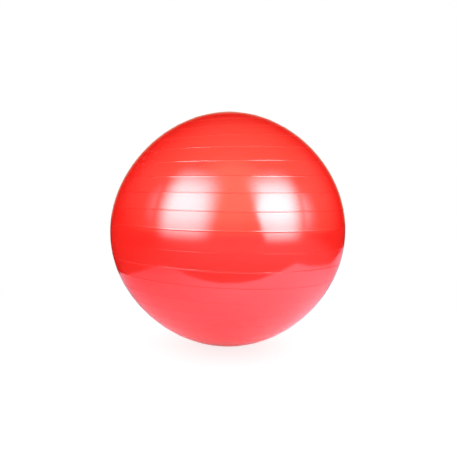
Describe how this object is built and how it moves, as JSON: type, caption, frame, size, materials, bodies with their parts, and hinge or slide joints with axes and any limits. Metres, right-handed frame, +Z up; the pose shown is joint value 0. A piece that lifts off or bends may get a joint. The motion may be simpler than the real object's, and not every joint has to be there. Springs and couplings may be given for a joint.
{
  "type": "exercise ball",
  "caption": "Inflated exercise ball with moulded horizontal ribs, a bonded valve seat at the top and a push-in stopper that pulls out.",
  "frame": {"origin": "middle of the flat contact patch, on the floor", "axes": "+Z up through the air port, along the axis that the ribs run round"},
  "size_m": [0.5498, 0.5498, 0.5489],
  "materials": {
    "skin": "gloss",
    "seat": "satin",
    "stopper": "satin"
  },
  "bodies": {
    "ball": {"ball_shell": "skin", "valve_seat": "seat"},
    "plug": {"valve_plug": "stopper"}
  },
  "joints": [
    {"name": "plug_pull", "type": "slide", "parent": "ball", "child": "plug", "axis": [0, 0, 1], "range_m": [0, 0.045]}
  ]
}
